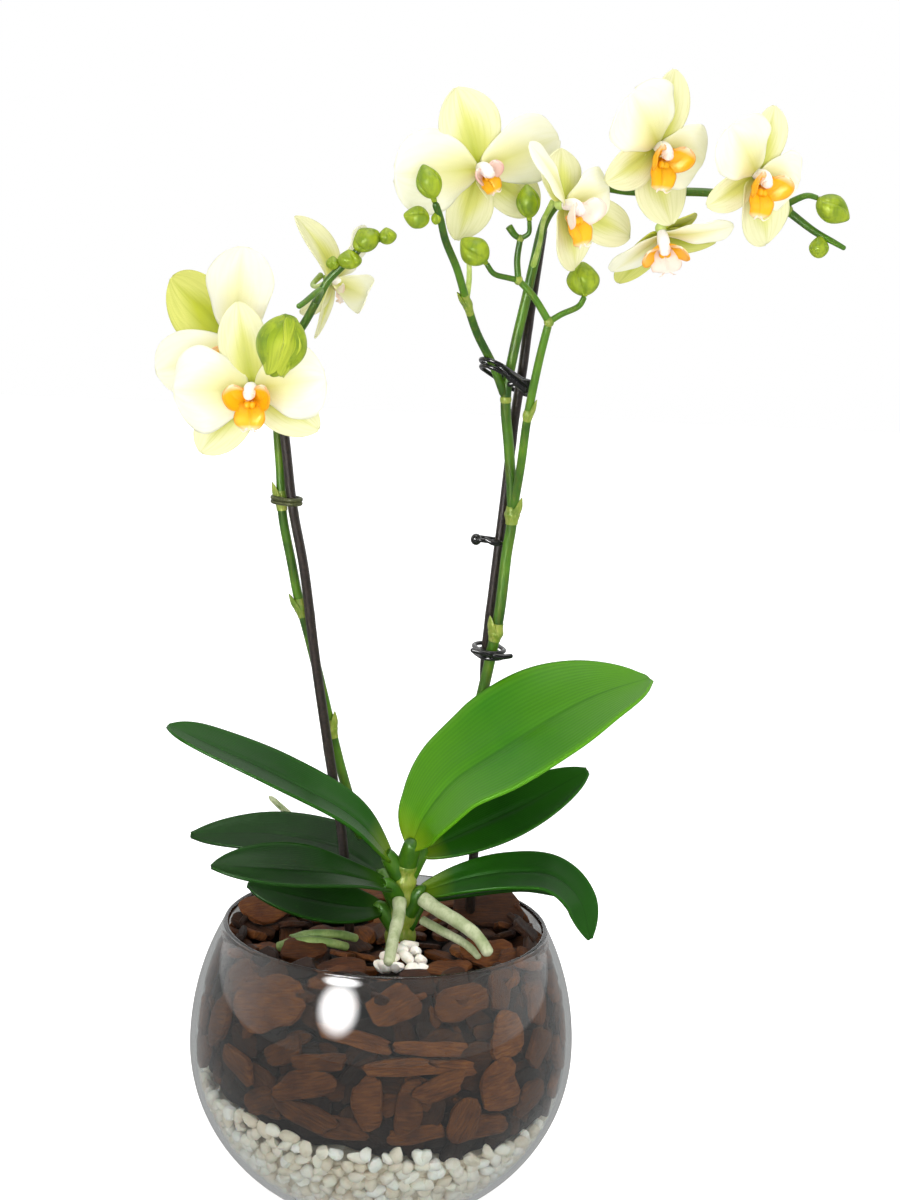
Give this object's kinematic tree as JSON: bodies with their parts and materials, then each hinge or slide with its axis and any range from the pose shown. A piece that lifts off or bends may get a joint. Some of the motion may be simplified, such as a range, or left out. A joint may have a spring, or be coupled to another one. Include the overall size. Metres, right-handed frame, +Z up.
{
  "type": "potted orchid",
  "caption": "Orchid with cream and lime flowers on staked arching stems, broad leaves and pale roots, planted in bark over pebbles in a round clear glass bowl.",
  "frame": {"origin": "centre of the bowl's flat base, on the surface it stands on", "axes": "+Z up; -Y is the front, where the flowers face; +X to the right of the front view"},
  "size_m": [0.3422, 0.1998, 0.5871],
  "materials": {
    "glass": "clear, smooth blown glass",
    "pebbles": "matt creamy white pebbles",
    "bark": "rough dark red-brown bark chips",
    "stem": "smooth green living stem",
    "leaf": "waxy bright green leaf",
    "leaf_dark": "waxy dark green leaf",
    "root": "dull grey-green aerial root",
    "stake": "thin near-black stained stick",
    "clip": "glossy black plastic",
    "petal": "soft cream petal with a green-yellow centre",
    "sepal": "soft yellow-green sepal",
    "lip": "orange-yellow lip with a white edge",
    "bud": "satin lime-green bud"
  },
  "bodies": {
    "root": {"bark_bed": "bark", "bud_far_left": "bud", "bud_inner_left": "bud", "bud_inner_right": "bud", "bud_inner_top": "bud", "bud_low_left": "bud", "bud_opening": "bud", "bud_tip": "bud", "clip_high": "clip", "clip_low": "clip", "clip_mid": "clip", "crown": "stem", "flower_hanging_lip": "lip", "flower_hanging_petals": "petal", "flower_hanging_sepals": "sepal", "flower_left_front_lip": "lip", "flower_left_front_petals": "petal", "flower_left_front_sepals": "sepal", "flower_left_rear_lip": "lip", "flower_left_rear_petals": "petal", "flower_left_rear_sepals": "sepal", "flower_left_side_lip": "lip", "flower_left_side_petals": "petal", "flower_left_side_sepals": "sepal", "flower_mid_low_lip": "lip", "flower_mid_low_petals": "petal", "flower_mid_low_sepals": "sepal", "flower_middle_lip": "lip", "flower_middle_petals": "petal", "flower_middle_sepals": "sepal", "flower_right_end_lip": "lip", "flower_right_end_petals": "petal", "flower_right_end_sepals": "sepal", "flower_right_top_lip": "lip", "flower_right_top_petals": "petal", "flower_right_top_sepals": "sepal", "glass_bowl": "glass", "leaf_back_left": "leaf_dark", "leaf_big_right": "leaf", "leaf_droop_right": "leaf", "leaf_front_left": "leaf_dark", "leaf_low_left": "leaf_dark", "leaf_mid_right": "leaf", "leaf_narrow_right": "leaf", "leaf_upper_left": "leaf_dark", "left_spike": "stem", "left_stake": "stake", "pebble_bed": "pebbles", "right_spike": "stem", "right_stake": "stake", "root_back_rising": "root", "root_front": "root", "root_right_thick": "root", "root_right_thin": "root", "tie_left": "clip"}
  },
  "joints": []
}
